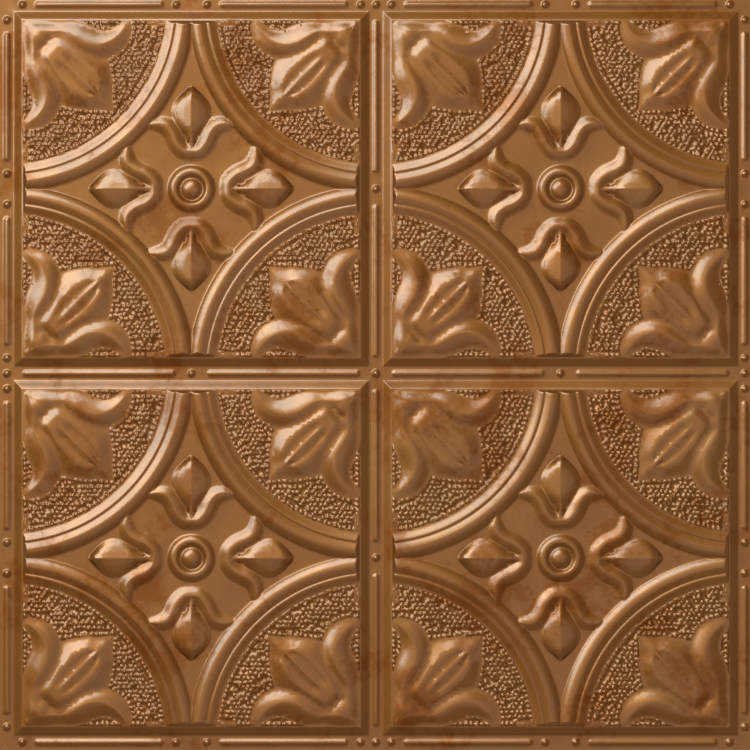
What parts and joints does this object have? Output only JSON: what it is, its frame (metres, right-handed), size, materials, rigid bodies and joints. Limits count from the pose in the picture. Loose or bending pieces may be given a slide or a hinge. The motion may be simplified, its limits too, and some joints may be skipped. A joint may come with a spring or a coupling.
{
  "type": "pressed tin ceiling tile",
  "caption": "Square pressed metal ceiling panel with nail-up rails, beaded ribs and raised floral units in quarter-ring frames, copper-coloured finish.",
  "frame": {"origin": "middle of the tile, on the back of the nailing rails", "axes": "+Z towards the room, out of the ornamented face; X and Y along the rails"},
  "size_m": [0.6224, 0.6224, 0.0073],
  "materials": {
    "copper_lacquer": "glossy copper-coloured lacquer on thin pressed steel sheet, slightly mottled"
  },
  "bodies": {
    "root": {"ceiling_tile": "copper_lacquer"}
  },
  "joints": []
}
